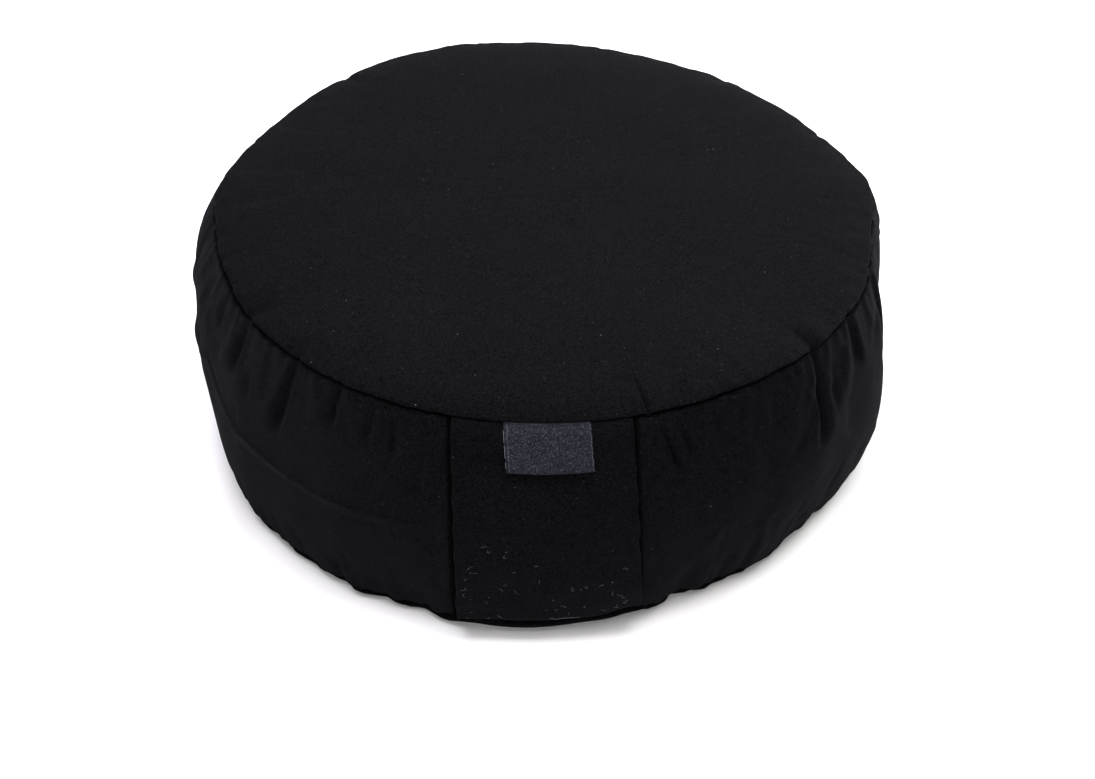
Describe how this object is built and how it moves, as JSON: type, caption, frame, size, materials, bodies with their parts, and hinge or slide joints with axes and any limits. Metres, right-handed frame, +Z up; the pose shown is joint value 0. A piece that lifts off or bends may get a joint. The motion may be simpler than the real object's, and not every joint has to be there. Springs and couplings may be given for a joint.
{
  "type": "zafu meditation cushion",
  "caption": "Round, firmly filled floor cushion in black cotton with a crowned top, seamed side band, a flat panel sewn over its front and a small ribbon tab.",
  "frame": {"origin": "middle of the flat base, on the surface that the cushion stands on", "axes": "+Z up out of the crown, -Y towards the front panel and its tab, +X to the right when the front panel is seen face on"},
  "size_m": [0.3647, 0.3665, 0.142],
  "materials": {
    "cotton_twill": "black cotton twill, matt with a faint cool sheen",
    "label_ribbon": "dark navy woven ribbon, satin"
  },
  "bodies": {
    "root": {"cushion_body": "cotton_twill", "front_panel": "cotton_twill", "label": "label_ribbon"}
  },
  "joints": []
}
